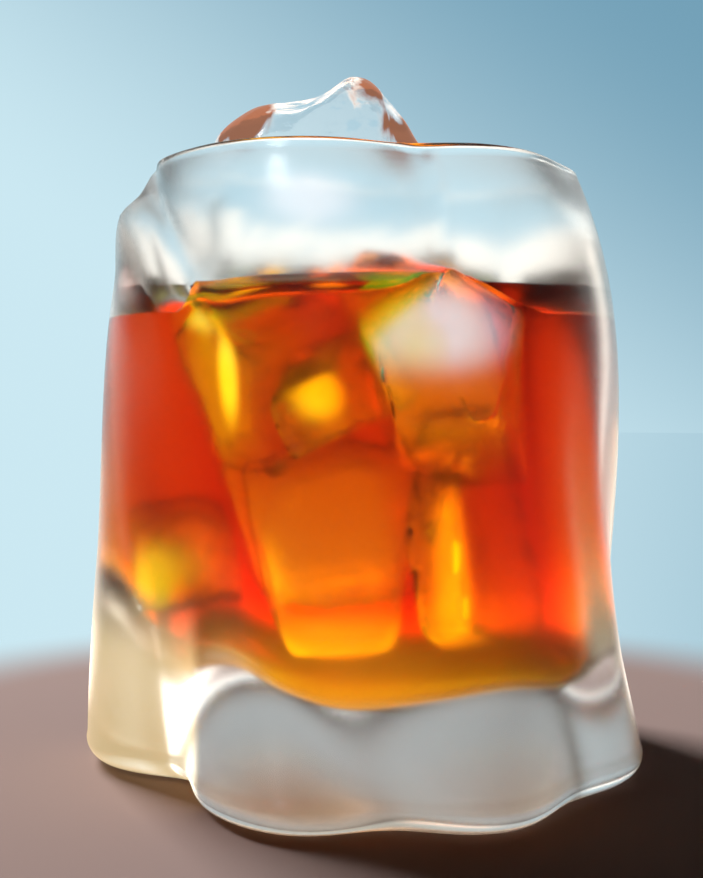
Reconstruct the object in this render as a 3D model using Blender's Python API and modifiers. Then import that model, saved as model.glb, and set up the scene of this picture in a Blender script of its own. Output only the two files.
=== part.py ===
"""A heavy frosted tumbler of cold coffee with clear ice, in metres, +Z up.

The origin is at the middle of the foot, on the surface that the glass stands on.
A bearing is in degrees seen from above: 0 is the front (-Y) and 90 the right (+X).
A rise is in degrees above the horizontal.
"""

from collections import namedtuple
from math import cos, radians, sin

import bmesh
import bpy
import numpy as np
from mathutils import Vector

COLLECTION = "iced_coffee_glass"
GAP = 0.0003
MERGE = 0.00001

# Tumbler
HEIGHT = 0.090
FOOT_RADIUS = 0.043
TAPER = 0.0038
RIM_INSET = 0.0058
RIM_INSET_POWER = 5.5
HEEL_RADIUS = 0.0035
LIP_THICKNESS = 0.0016
TURNS = 72
OUTER_ROWS = 20
LIP_STEPS = 6
HEEL_STEPS = 5
FOOT_RING = 0.022

# Hollow
FLOOR = 0.0125
FLOOR_WALL_RADIUS = 0.027
HOLLOW_RADIUS = 0.0345
HOLLOW_TOP = 0.070
HOLLOW_POWER = 0.75
CORNER_RADIUS = 0.005
LIP_BLEND_START = 0.066
FLOOR_RINGS = (0.0, 0.35, 0.7, 1.0)
WET_ROWS = 12
WET_ROW_POWER = 1.6
DRY_ROWS = 4
HOLLOW_WAVE_SHARE = 0.35
FULL_WAVE_SPAN = (0.050, 0.088)

# Bulges of the hollow: it stands wider at the left and low at the right
Bulge = namedtuple("Bulge", "bearing depth width lowest fullest highest")
BULGES = (
    Bulge(-85, 0.0035, 38, 0.008, 0.028, 0.066),
    Bulge(70, 0.0030, 32, 0.002, 0.014, 0.048),
)

# The hollow's floor rises at the left
LIFT = 0.0075
LIFT_BEARING = -75
LIFT_WIDTH = 42
LIFT_FADE = 0.030

# Drink
LEVEL = 0.0690
SURFACE_RING = 0.5

# Waves of the wall: each groove runs through four heights, and each swell is one lobe
GROOVE_HEIGHTS = (0.0, 0.030, 0.060, 0.090)
Groove = namedtuple("Groove", "bearings depths width")
GROOVES = (
    Groove((5, -20, -32, -78), (0.0035, 0.0035, 0.0035, 0.0020), 13),
    Groove((44, 41, 31, 10), (0.0020, 0.0020, 0.0025, 0.0046), 13),
    Groove((-52, -46, -52, -60), (0.0100, 0.0025, 0.0003, 0.0), 17),
    Groove((100, 80, 68, 64), (0.0010, 0.0036, 0.0008, 0.0024), 19),
    Groove((165, 150, 138, 118), (0.0030, 0.0030, 0.0030, 0.0025), 16),
    Groove((-136, -142, -152, -170), (0.0030, 0.0035, 0.0030, 0.0025), 17),
    Groove((-70, -80, -92, -125), (0.0, 0.0006, 0.0016, 0.0016), 10),
)
Swell = namedtuple("Swell", "bearing height width lowest fullest highest")
SWELLS = (
    Swell(-98, 0.0026, 24, 0.072, 0.0835, 0.087),
    Swell(21, 0.0052, 17, -0.001, 0.0, 0.026),
    Swell(-10, 0.0038, 16, -0.001, 0.0, 0.030),
    Swell(60, 0.0014, 20, -0.001, 0.0, 0.020),
    Swell(-24, 0.0032, 21, 0.066, 0.090, 0.200),
)

# Ice: each facet is a flat face at a distance from the piece's centre
BLANK = 0.200
EDGE_MELT = 0.0011
EDGE_STEPS = 2
Facet = namedtuple("Facet", "bearing rise distance")
Ice = namedtuple("Ice", "centre facets")
ICE = {
    "ice_tall": Ice(
        (-0.005, 0.005, 0.062),
        (
            Facet(-90, 4, 0.0216),
            Facet(-90, 56, 0.0396),
            Facet(90, 40, 0.0334),
            Facet(84, 6, 0.0195),
            Facet(3, 3, 0.0105),
            Facet(-45, 8, 0.0195),
            Facet(-12, 40, 0.0315),
            Facet(10, 80, 0.0450),
            Facet(48, 12, 0.0185),
            Facet(178, -4, 0.0120),
            Facet(172, 48, 0.0360),
            Facet(-132, -4, 0.0185),
            Facet(134, -10, 0.0175),
            Facet(-84, -24, 0.0215),
            Facet(96, -22, 0.0230),
            Facet(10, -84, 0.0385),
        ),
    ),
    "ice_right": Ice(
        (0.0100, -0.0172, 0.0590),
        (
            Facet(12, -6, 0.0110),
            Facet(-58, 42, 0.0104),
            Facet(108, 66, 0.0130),
            Facet(-84, -16, 0.0095),
            Facet(88, -8, 0.0105),
            Facet(186, -3, 0.0068),
            Facet(52, -10, 0.0098),
            Facet(24, -58, 0.0130),
            Facet(-60, -60, 0.0140),
        ),
    ),
    "ice_left": Ice(
        (-0.0160, -0.0148, 0.0585),
        (
            Facet(-34, -6, 0.0072),
            Facet(-78, 40, 0.0108),
            Facet(36, 50, 0.0080),
            Facet(58, -8, 0.0080),
            Facet(180, -5, 0.0066),
            Facet(-84, -20, 0.0078),
            Facet(-132, 30, 0.0098),
            Facet(0, -64, 0.0110),
        ),
    ),
}
SCOOP_CENTRE = (-0.0125, -0.002, 0.1142)
SCOOP_RADII = (0.0125, 0.032, 0.0125)
SCOOP_SIDES = (40, 24)


def clear_scene():
    for obj in list(bpy.data.objects):
        bpy.data.objects.remove(obj, do_unlink=True)


def collection(name):
    made = bpy.data.collections.new(name)
    bpy.context.scene.collection.children.link(made)
    return made


def material(name, colour, roughness):
    made = bpy.data.materials.new(name)
    made.use_nodes = True
    shader = made.node_tree.nodes["Principled BSDF"]
    shader.inputs["Base Color"].default_value = (*colour, 1.0)
    shader.inputs["Roughness"].default_value = roughness
    shader.inputs["Metallic"].default_value = 0.0
    return made


def eased(share):
    share = np.clip(share, 0.0, 1.0)
    return share * share * (3.0 - 2.0 * share)


def through_heights(values, z):
    """The cubic that passes through a groove's four values."""
    return np.polyval(np.polyfit(GROOVE_HEIGHTS, values, 3), z)


def bump(bearing, middle, width):
    away = (bearing - middle + 180.0) % 360.0 - 180.0
    return np.exp(-((away / width) ** 2))


def wave(bearing, z):
    """How far the wall stands out from its turned form, in metres."""
    out = np.zeros_like(bearing)
    for groove in GROOVES:
        depth = np.maximum(through_heights(groove.depths, z), 0.0)
        out -= depth * bump(bearing, through_heights(groove.bearings, z), groove.width)
    for swell in SWELLS:
        rising = eased((z - swell.lowest) / (swell.fullest - swell.lowest))
        falling = eased((swell.highest - z) / (swell.highest - swell.fullest))
        out += swell.height * rising * falling * bump(bearing, swell.bearing, swell.width)
    return out


def wall_radius(z):
    share = np.asarray(z) / HEIGHT
    return FOOT_RADIUS - TAPER * share - RIM_INSET * np.maximum(share, 0.0) ** RIM_INSET_POWER


def hollow_radius(z):
    z = np.asarray(z, float)
    up = np.clip((z - FLOOR) / (HOLLOW_TOP - FLOOR), 0.0, 1.0)
    straight = FLOOR_WALL_RADIUS + (HOLLOW_RADIUS - FLOOR_WALL_RADIUS) * up**HOLLOW_POWER
    drop = np.clip(CORNER_RADIUS - (z - FLOOR), 0.0, CORNER_RADIUS)
    rounded = straight - CORNER_RADIUS + np.sqrt(CORNER_RADIUS**2 - drop**2)
    near_lip = eased((z - LIP_BLEND_START) / (HEIGHT - LIP_BLEND_START))
    return rounded * (1 - near_lip) + (wall_radius(z) - LIP_THICKNESS) * near_lip


def wave_share(radius, z):
    """1 on the outside and the lip, less on the hollow's wall, fading to 0 on the axis."""
    hollow = hollow_radius(z)
    start, full = FULL_WAVE_SPAN
    inside = HOLLOW_WAVE_SHARE + (1 - HOLLOW_WAVE_SHARE) * eased((z - start) / (full - start))
    inside = inside * np.clip(radius / (FLOOR_WALL_RADIUS - CORNER_RADIUS), 0.0, 1.0)
    outside = np.clip(radius / (FOOT_RADIUS - HEEL_RADIUS), 0.0, 1.0)
    across = eased((radius - hollow) / (wall_radius(z) - hollow))
    return np.where(z < FLOOR - GAP / 2, outside, inside + (outside - inside) * across)


def hollow_part(radius, z):
    """1 on the hollow and inside it, 0 on the outside of the wall and under the hollow's floor."""
    hollow = hollow_radius(z)
    across = eased((radius - hollow) / (wall_radius(z) - hollow))
    return np.where(z < FLOOR - GAP / 2, 0.0, 1.0 - across)


def bulge(bearing, radius, z):
    """How far the hollow stands out from its turned form, in metres."""
    out = np.zeros_like(bearing)
    for one in BULGES:
        rising = eased((z - one.lowest) / (one.fullest - one.lowest))
        falling = eased((one.highest - z) / (one.highest - one.fullest))
        out += one.depth * rising * falling * bump(bearing, one.bearing, one.width)
    return out * np.clip(radius / FLOOR_WALL_RADIUS, 0.0, 1.0)


def lift(bearing, radius, z):
    """How far the hollow's floor rises at the left, fading with height, in metres."""
    reach = np.clip(radius / FLOOR_WALL_RADIUS, 0.0, 1.0) ** 2
    fade = 1.0 - eased((z - FLOOR) / LIFT_FADE)
    return LIFT * reach * fade * bump(bearing, LIFT_BEARING, LIFT_WIDTH)


def arc(centre, radius, start, end, steps):
    """Points in the X-Z plane, from one angle to another."""
    turns = (radians(start + (end - start) * step / steps) for step in range(steps + 1))
    return [(centre[0] + radius * cos(turn), centre[1] + radius * sin(turn)) for turn in turns]


def hollow_line(top, inward):
    """The hollow's half outline from the axis up to a height, moved inward by a distance."""
    edge = float(hollow_radius(FLOOR))
    wet = FLOOR + (LEVEL - FLOOR) * (np.arange(1, WET_ROWS + 1) / WET_ROWS) ** WET_ROW_POWER
    dry = np.linspace(LEVEL, top, DRY_ROWS + 1)[1:] if top > LEVEL else []
    heights = np.concatenate((wet, dry))
    line = [(edge * share, FLOOR) for share in FLOOR_RINGS]
    line += [(float(hollow_radius(z)), float(z)) for z in heights]
    points = np.array(line)
    along = np.gradient(points, axis=0)
    along[0] = (1.0, 0.0)
    along /= np.linalg.norm(along, axis=1, keepdims=True)
    points += inward * np.column_stack((-along[:, 1], along[:, 0]))
    points[0, 0] = 0.0
    points[-1, 1] = top
    return points.tolist()


def tumbler_line():
    """The tumbler's half outline: up the hollow, over the lip, down the outside, across the foot."""
    round_lip = LIP_THICKNESS / 2
    lip_z = HEIGHT - round_lip
    line = hollow_line(lip_z, 0.0)
    lip_middle = (float(wall_radius(lip_z)) - round_lip, lip_z)
    line += arc(lip_middle, round_lip, 180, 0, LIP_STEPS)[1:]
    for row in range(1, OUTER_ROWS):
        z = lip_z + (HEEL_RADIUS - lip_z) * row / OUTER_ROWS
        line.append((float(wall_radius(z)), z))
    line += arc((float(wall_radius(0)) - HEEL_RADIUS, HEEL_RADIUS), HEEL_RADIUS, 0, -90, HEEL_STEPS)
    line += [(FOOT_RING, 0.0), (0.0, 0.0)]
    return line


def drink_line():
    side = hollow_line(LEVEL, GAP)
    rim = side[-1][0]
    return [(0.0, LEVEL), (rim * SURFACE_RING, LEVEL)] + side[::-1]


def turned(name, line, look, parts):
    """A half outline turned about Z, then pressed into the wall's waves."""
    guide = bpy.data.meshes.new(name)
    edges = [(step, step + 1) for step in range(len(line) - 1)]
    guide.from_pydata([(x, 0.0, z) for x, z in line], edges, [])
    obj = bpy.data.objects.new(name, guide)
    parts.objects.link(obj)
    screw = obj.modifiers.new("turn", "SCREW")
    screw.steps = TURNS
    screw.render_steps = TURNS
    screw.use_merge_vertices = True
    screw.merge_threshold = MERGE
    screw.use_smooth_shade = True
    graph = bpy.context.evaluated_depsgraph_get()
    mesh = bpy.data.meshes.new_from_object(obj.evaluated_get(graph))
    obj.modifiers.clear()
    obj.data = mesh
    bpy.data.meshes.remove(guide)
    mesh.name = name
    press(mesh)
    mesh.materials.append(look)
    return obj


def press(mesh):
    points = np.empty(len(mesh.vertices) * 3)
    mesh.vertices.foreach_get("co", points)
    points = points.reshape(-1, 3)
    x, y, z = points.T
    radius = np.hypot(x, y)
    bearing = np.degrees(np.arctan2(x, -y))
    inside = hollow_part(radius, z)
    pressed = radius + wave_share(radius, z) * wave(bearing, z) + inside * bulge(bearing, radius, z)
    raised = inside * lift(bearing, radius, z)
    stretch = np.where(radius > MERGE, pressed / np.maximum(radius, MERGE), 1.0)
    points[:, :2] *= stretch[:, None]
    points[:, 2] += raised
    mesh.vertices.foreach_set("co", points.ravel())
    mesh.update()


def direction(bearing, rise):
    turn = radians(bearing)
    lift = radians(rise)
    return Vector((cos(lift) * sin(turn), -cos(lift) * cos(turn), sin(lift)))


def ice(name, look, parts, grown=0.0):
    """A block with one flat cut for each facet and melted edges."""
    piece = ICE[name]
    shape = bmesh.new()
    bmesh.ops.create_cube(shape, size=BLANK)
    for facet in piece.facets:
        normal = direction(facet.bearing, facet.rise)
        cut = bmesh.ops.bisect_plane(
            shape,
            geom=shape.verts[:] + shape.edges[:] + shape.faces[:],
            plane_co=normal * (facet.distance + grown),
            plane_no=normal,
            clear_outer=True,
        )
        rim = [item for item in cut["geom_cut"] if isinstance(item, bmesh.types.BMEdge)]
        if rim:
            bmesh.ops.edgeloop_fill(shape, edges=rim)
    bmesh.ops.recalc_face_normals(shape, faces=shape.faces[:])
    mesh = bpy.data.meshes.new(name)
    shape.to_mesh(mesh)
    shape.free()
    mesh.shade_smooth()
    mesh.materials.append(look)
    obj = bpy.data.objects.new(name, mesh)
    obj.location = piece.centre
    parts.objects.link(obj)
    melt = obj.modifiers.new("melted edges", "BEVEL")
    melt.width = EDGE_MELT
    melt.segments = EDGE_STEPS
    melt.limit_method = "NONE"
    return obj


def helper(obj, cutters):
    """Keeps a cutter out of the finished glass."""
    for owner in list(obj.users_collection):
        owner.objects.unlink(obj)
    cutters.objects.link(obj)
    obj.hide_render = True
    obj.display_type = "WIRE"
    return obj


def scoop(cutters):
    """The melted hollow in the top of the tall ice."""
    mesh = bpy.data.meshes.new("scoop")
    shape = bmesh.new()
    bmesh.ops.create_uvsphere(shape, u_segments=SCOOP_SIDES[0], v_segments=SCOOP_SIDES[1], radius=1.0)
    bmesh.ops.scale(shape, vec=SCOOP_RADII, verts=shape.verts[:])
    shape.to_mesh(mesh)
    shape.free()
    mesh.shade_smooth()
    obj = bpy.data.objects.new("scoop", mesh)
    obj.location = SCOOP_CENTRE
    return helper(obj, cutters)


def cut(obj, cutter):
    made = obj.modifiers.new(f"cut {cutter.name}", "BOOLEAN")
    made.operation = "DIFFERENCE"
    made.solver = "EXACT"
    made.object = cutter


def build():
    clear_scene()
    parts = collection(COLLECTION)
    cutters = collection("cutters")
    glass_look = material("frosted glass", (0.80, 0.86, 0.90), 0.40)
    drink_look = material("cold coffee", (0.74, 0.27, 0.03), 0.08)
    ice_look = material("clear ice", (0.84, 0.92, 0.96), 0.12)
    turned("tumbler", tumbler_line(), glass_look, parts)
    drink = turned("drink", drink_line(), drink_look, parts)
    for name in ICE:
        ice(name, ice_look, parts)
        grown = ice(name, ice_look, parts, GAP)
        grown.name = f"{name}_cutter"
        cut(drink, helper(grown, cutters))
    cut(bpy.data.objects["ice_tall"], scoop(cutters))


build()
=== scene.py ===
from collections import namedtuple
from math import atan2, degrees, radians

import bpy
import numpy as np
from bpy.props import FloatProperty, FloatVectorProperty, IntProperty, PointerProperty
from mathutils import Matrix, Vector


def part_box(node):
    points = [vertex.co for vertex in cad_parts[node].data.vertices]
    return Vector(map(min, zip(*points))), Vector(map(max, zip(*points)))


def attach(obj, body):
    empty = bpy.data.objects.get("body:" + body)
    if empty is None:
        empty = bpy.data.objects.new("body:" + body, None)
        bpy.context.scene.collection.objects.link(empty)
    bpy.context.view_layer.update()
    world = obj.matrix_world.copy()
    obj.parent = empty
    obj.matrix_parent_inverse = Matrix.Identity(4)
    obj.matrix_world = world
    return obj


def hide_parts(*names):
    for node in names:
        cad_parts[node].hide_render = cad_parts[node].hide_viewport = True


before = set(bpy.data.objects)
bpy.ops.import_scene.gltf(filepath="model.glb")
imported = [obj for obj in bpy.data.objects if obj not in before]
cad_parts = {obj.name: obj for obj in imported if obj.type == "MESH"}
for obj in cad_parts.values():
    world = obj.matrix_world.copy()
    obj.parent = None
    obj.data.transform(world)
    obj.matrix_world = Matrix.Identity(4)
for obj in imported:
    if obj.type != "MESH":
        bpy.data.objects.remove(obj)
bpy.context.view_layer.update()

bl_info = {
    "name": "Frosted tumbler of iced coffee",
    "version": (1, 0, 0),
    "blender": (4, 5, 0),
    "location": "3D View > Sidebar > Iced coffee",
    "description": "Finishes the tumbler, the drink and the ice over their solids",
    "category": "Object",
}

BODY = "root"
TUMBLER_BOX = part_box("tumbler")

# The tumbler, turned: in metres, with bearings in degrees from the front (-Y) to the right (+X)
HEIGHT = TUMBLER_BOX[1].z
FOOT_RADIUS = 0.043
TAPER = 0.0038
RIM_INSET = 0.0058
RIM_INSET_POWER = 5.5
HEEL_RADIUS = 0.0035
LIP_THICKNESS = 0.0016
FLOOR = 0.0125
FLOOR_WALL_RADIUS = 0.0270
HOLLOW_RADIUS = 0.0345
HOLLOW_TOP = 0.070
HOLLOW_POWER = 0.75
CORNER_RADIUS = 0.005
LIP_BLEND_START = 0.066
HOLLOW_WAVE_SHARE = 0.35
FULL_WAVE_SPAN = (0.050, 0.088)
LIFT = 0.0075
LIFT_BEARING = -75
LIFT_WIDTH = 42
LIFT_FADE = 0.030
AXIS = 0.00001

# Under this height the glass is solid from side to side
UNDER_FLOOR = FLOOR - 0.0005

# Rows of points over each stretch of the outline, and over the drink's surface and side
FLAT_ROWS = 10
CORNER_ROWS = 20
INSIDE_ROWS = 74
LIP_ROWS = 14
OUTSIDE_ROWS = 92
HEEL_ROWS = 12
FOOT_ROWS = 8
SURFACE_ROWS = 46
SIDE_ROWS = 80

# The rows of the drink's surface crowd towards the wall by this power
SURFACE_POWER = 2.2

# The drink's edges round the ice stay sharp from this angle on, in degrees
SHARP_FROM = 50

# The drink grows into the glass in full from this distance to the axis
GROWN_FROM = 0.004

# The frost covers the outside and ends on the lip, at these shares of the way through the wall,
# and the roughness of the frost and of the smooth hollow changes in patches by these amounts
FROST_SPAN = (0.1875, 0.8125)
FROST_CHANGE = 0.04
POLISH_CHANGE = 0.03

# In each span below, the first number is where a share is 0 and the second where it is 1.
# The painted glow and the painted brown reflection in the foot stay close under the outside
SKIN_SPAN = (0.003, 0.001)

# How strongly the glass, the drink and the ice bend light
GLASS_IOR = 1.5
DRINK_IOR = 1.33
ICE_IOR = 1.31

# The colour of a surface that gives off no light
BLACK = (0.0, 0.0, 0.0)

# Painted glow: the drink is lit from under its front by emitted light: the heights of the fade, and the
# bearing with its width
LOW_LIGHT_SPAN = (0.030, 0.015)
LOW_LIGHT_BEARING = (-10.0, 45.0)

# Painted light in the foot: a glow at its left stands in for light gathered there, and a painted
# reflection of the drink's brown tints it low in front
FOOT_GLOW_LEFT = (-105, -85)
FOOT_GLOW_RIGHT = (-33, -38)
FOOT_GLOW_TOP = (0.030, 0.018)
FOOT_BROWN_TOP = 0.016
FOOT_BROWN_WIDTH = 38.0

# The drink climbs the front wall between these bearings, easing in and out
CLIMB_LEFT = (-50, -42)
CLIMB_RIGHT = (46, 22)
SIDE_CLIMB = -0.6

# Waves of the wall: a groove runs through four heights, and a swell is one lobe
GROOVE_HEIGHTS = (0.0, 0.030, 0.060, 0.090)
Groove = namedtuple("Groove", "bearings depths width")
GROOVES = (
    Groove((5, -20, -32, -78), (0.0035, 0.0035, 0.0035, 0.0020), 13),
    Groove((44, 41, 31, 10), (0.0020, 0.0020, 0.0025, 0.0046), 13),
    Groove((-52, -46, -52, -60), (0.0100, 0.0025, 0.0003, 0.0), 17),
    Groove((100, 80, 68, 64), (0.0010, 0.0036, 0.0008, 0.0024), 19),
    Groove((165, 150, 138, 118), (0.0030, 0.0030, 0.0030, 0.0025), 16),
    Groove((-136, -142, -152, -170), (0.0030, 0.0035, 0.0030, 0.0025), 17),
    Groove((-70, -80, -92, -125), (0.0, 0.0006, 0.0016, 0.0016), 10),
)
Swell = namedtuple("Swell", "bearing height width lowest fullest highest")
SWELLS = (
    Swell(-98, 0.0026, 24, 0.072, 0.0835, 0.087),
    Swell(21, 0.0052, 17, -0.001, 0.0, 0.026),
    Swell(-10, 0.0038, 16, -0.001, 0.0, 0.030),
    Swell(60, 0.0014, 20, -0.001, 0.0, 0.020),
    Swell(-24, 0.0032, 21, 0.066, 0.090, 0.200),
)

# Bulges of the hollow: it stands wider at the left and low at the right
BULGES = (
    Swell(-85, 0.0035, 38, 0.008, 0.028, 0.066),
    Swell(70, 0.0030, 32, 0.002, 0.014, 0.048),
)

# Ice: each facet is a flat face at a distance from the piece's centre, by its bearing and its rise
Facet = namedtuple("Facet", "bearing rise distance")
Ice = namedtuple("Ice", "centre facets")


def ice_piece(centre, *facets):
    return Ice(centre, [Facet(*facet) for facet in facets])


ICE_ABOVE = {
    "ice_tall": ice_piece(
        (-0.005, 0.005, 0.062),
        (-90, 4, 0.0216), (-90, 56, 0.0396), (90, 40, 0.0334), (84, 6, 0.0195),
        (3, 3, 0.0105), (-45, 8, 0.0195), (-12, 40, 0.0315), (10, 80, 0.0450),
        (48, 12, 0.0185), (178, -4, 0.0120), (172, 48, 0.0360), (-132, -4, 0.0185),
        (134, -10, 0.0175), (-84, -24, 0.0215), (96, -22, 0.0230), (10, -84, 0.0385),
    ),
    "ice_right": ice_piece(
        (0.0100, -0.0172, 0.0590),
        (12, -6, 0.0140), (-58, 42, 0.0145), (108, 66, 0.0114), (-84, -16, 0.0095),
        (88, -8, 0.0105), (186, -3, 0.0068), (52, -10, 0.0125), (24, -58, 0.0130),
        (-60, -60, 0.0140),
    ),
    "ice_left": ice_piece(
        (-0.0160, -0.0148, 0.0585),
        (-34, -6, 0.0072), (-78, 40, 0.0108), (36, 50, 0.0080), (58, -8, 0.0080),
        (180, -5, 0.0066), (-84, -20, 0.0078), (-132, 30, 0.0098), (0, -64, 0.0110),
    ),
}
ICE_SUNK = {
    "ice_sunk_middle": ice_piece(
        (-0.0025, -0.0160, 0.0345),
        (-8, 6, 0.0080), (58, 14, 0.0092), (92, -8, 0.0085), (-84, -12, 0.0095),
        (-50, 14, 0.0100), (176, 2, 0.0076), (-50, 62, 0.0115), (60, 66, 0.0128),
        (20, -70, 0.0162), (-120, -50, 0.0150),
    ),
    "ice_sunk_band": ice_piece(
        (0.0108, -0.0105, 0.0330),
        (4, 4, 0.0160), (80, 8, 0.0034), (-98, -8, 0.0032), (182, 4, 0.0130),
        (-40, 50, 0.0135), (30, 70, 0.0150), (20, -64, 0.0150), (-150, -58, 0.0150),
    ),
    "ice_sunk_high": ice_piece(
        (-0.0034, -0.0195, 0.0545),
        (-10, 4, 0.0108), (60, 24, 0.0040), (-110, -24, 0.0040), (176, 4, 0.0105),
        (-60, 60, 0.0052), (80, -58, 0.0050),
    ),
    "ice_sunk_left": ice_piece(
        (-0.0225, -0.0050, 0.0310),
        (-88, 6, 0.0068), (-20, 10, 0.0066), (40, -6, 0.0060), (100, 12, 0.0058),
        (170, 4, 0.0070), (-50, 62, 0.0072), (60, 66, 0.0070), (20, -70, 0.0068),
        (-120, -50, 0.0072),
    ),
}

# The wall holds this piece in
AGAINST_WALL = "ice_right"

# Rows and turns of each ice surface, and of the shapes that cut the drink above and under its surface
ICE_ROWS = {"ice_tall": (180, 270), "ice_right": (130, 196), "ice_left": (130, 196)}
SUNK_ROWS = (100, 150)
CUT_ROWS = ((92, 138), (64, 96))

# Ripples of the melted ice: each sine's length and weight, how much longer and how strong the sine
# is that bends it, what the sum is divided by, and how many ripples deep the ice has melted
RIPPLES = ((0.016, 0.9), (0.011, 0.7), (0.0075, 0.45), (0.005, 0.25), (0.0033, 0.12))
BEND_STRETCH = 1.7
BEND = 1.1
RIPPLE_SUM = 1.6
MELT = 0.9

# Painted highlights: soft spots in the ice glow, standing in both for light scattered by trapped air and
# for bright glints of focused light: each spot's place, its reach each way and the light that leaves it
Air = namedtuple("Air", "place reach light")
AIR_AND_GLINTS = {
    "ice_right": (Air((0.0085, -0.0325, 0.0645), (0.0110, 0.0105, 0.0056), (0.12, 0.58, 0.70)),),
    "ice_left": (
        Air((-0.0168, -0.0215, 0.0585), (0.0018, 0.0080, 0.0064), (1.50, 1.35, 0.75)),
        Air((-0.0200, -0.0160, 0.0660), (0.0040, 0.0080, 0.0022), (0.50, 0.55, 0.45)),
    ),
    "ice_sunk_high": (Air((-0.0050, -0.0280, 0.0560), (0.0030, 0.0060, 0.0034), (1.20, 0.78, 0.03)),),
    "ice_sunk_band": (
        Air((0.0108, -0.0260, 0.0340), (0.0024, 0.0060, 0.0150), (1.00, 0.38, 0.00)),
        Air((0.0108, -0.0240, 0.0200), (0.0060, 0.0080, 0.0040), (0.40, 0.17, 0.00)),
        Air((0.0105, -0.0250, 0.0480), (0.0030, 0.0060, 0.0034), (0.80, 0.42, 0.02)),
    ),
    "ice_sunk_middle": (
        Air((-0.0025, -0.0230, 0.0200), (0.0110, 0.0100, 0.0050), (0.50, 0.24, 0.00)),
        Air((-0.0110, -0.0220, 0.0300), (0.0030, 0.0080, 0.0060), (0.30, 0.20, 0.04)),
    ),
    "ice_sunk_left": (Air((-0.0250, -0.0090, 0.0300), (0.0040, 0.0080, 0.0045), (0.75, 0.90, 0.28)),),
    "ice_tall": (Air((-0.0080, -0.0060, 0.0840), (0.0070, 0.0100, 0.0050), (0.40, 0.24, 0.20)),),
}

# Over these heights the ice comes out of the glass, dry and clear
BARE_SPAN = (0.0885, 0.0915)

# Painted shade: a thin brown line follows the ridge, where the surface turns from the front to the back
# as the camera sees it
RIDGE_WIDTH = 0.16
RIDGE_SHADE = 0.62

# Stains sit at the left shoulder, the peak and the right leg of the tall ice, and reach far in depth
Stain = namedtuple("Stain", "place reach weight")
STAINS = (
    Stain((-0.0190, 0.000, 0.0985), 0.0062, 1.0),
    Stain((0.0010, 0.000, 0.1045), 0.0040, 0.85),
    Stain((0.0085, 0.000, 0.0975), 0.0048, 1.0),
)
STAIN_DEPTH = 0.016

# Streaks of the stains: how they are drawn out downwards and lean, how fine they are, how strongly
# a stain brings them out, and where their edge lies
STREAK_STRETCH = (1.0, 1.0, 0.35)
STREAK_LEAN = (0.3, 0.5, 0.0)
STREAK_SCALE = 210.0
STAIN_PUSH = 0.80
STAIN_EDGE = (0.78, 1.0)

# The dish melted into the tall ice's top
SCOOP_CENTRE = (-0.0125, -0.002, 0.1142)
SCOOP_RADII = (0.0125, 0.032, 0.0125)

# The camera of the photograph: its eye in metres, its lens and how far it looks down
PHOTO_HEIGHT = 878
FOCAL_PIXELS = 1380
EYE_DISTANCE = 0.216
EYE_HEIGHT = 0.057
EYE_SIDE = -0.00165
HORIZON_PIXEL = 388
SENSOR_MM = 36.0

# The backdrop: which way it darkens, and how far to the sides it is bright
LEAN = (0.66, 0.0, 1.0)
LEAN_SPAN = (-0.04, 0.42)
BRIGHT_SPAN = (0.3, 0.85)

# Its light fades to a share with height, where another glow takes over, and a share reaches the floor
DIM_SPAN = (0.10, 0.36)
DIM_SHARE = 0.60
HIGH_GLOW_SPAN = (0.12, 0.30)
DIFFUSE_SHARE = 0.25

# The floor lies just under the foot in rings, and glows from a first distance and less past a second
FLOOR_RINGS = (0.05, 0.2, 0.6, 1.0)
FLOOR_TURNS = 96
FLOOR_DROP = 0.0003
PAD_START = (0.048, 0.075)
PAD_END = (0.085, 0.16)

# Softboxes round the glass, and the rays that don't see them
Softbox = namedtuple("Softbox", "name place aim size power colour hidden_from")
SOFTBOXES = (
    Softbox(
        "key from behind", (-0.62, 0.72, 0.62), (0.0, 0.0, 0.04), (0.45, 0.45), 27.0,
        (1.0, 1.0, 1.0), ("transmission", "glossy"),
    ),
    Softbox(
        "glow behind right", (0.70, 0.72, 0.16), (0.0, 0.0, 0.05), (0.20, 0.34), 0.8,
        (1.0, 0.92, 0.80), ("diffuse",),
    ),
    Softbox(
        "front fill", (-0.33, -0.61, 0.55), (0.0, 0.0, 0.06), (0.18, 0.18), 3.5,
        (1.0, 1.0, 1.0), ("diffuse",),
    ),
)

# Light is followed through this many faces of glass, drink and ice
BOUNCES = 24


def colour_setting(name, description, default):
    return FloatVectorProperty(name=name, description=description, default=default, subtype="COLOR")


def length_setting(name, description, default):
    return FloatProperty(name=name, description=description, default=default, unit="LENGTH")


def number_setting(name, description, default):
    return FloatProperty(name=name, description=description, default=default)


class TumblerSettings(bpy.types.PropertyGroup):
    # Painted light in the foot: the glow is emitted light, and the brown is a painted reflection of the
    # drink
    foot_glow: colour_setting("Foot glow", "Light gathered in the foot's left", (0.55, 0.41, 0.20))
    foot_brown: colour_setting("Foot brown", "The drink's brown low in the foot", (0.66, 0.36, 0.22))
    frost: number_setting("Frost", "Roughness of the satin outside", 0.23)
    polish: number_setting("Polish", "Roughness of the hollow", 0.05)
    tint: colour_setting("Tint", "Colour of the glass", (0.95, 0.975, 0.985))
    turns: IntProperty(name="Turns", description="Points round the wall", default=320)


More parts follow.
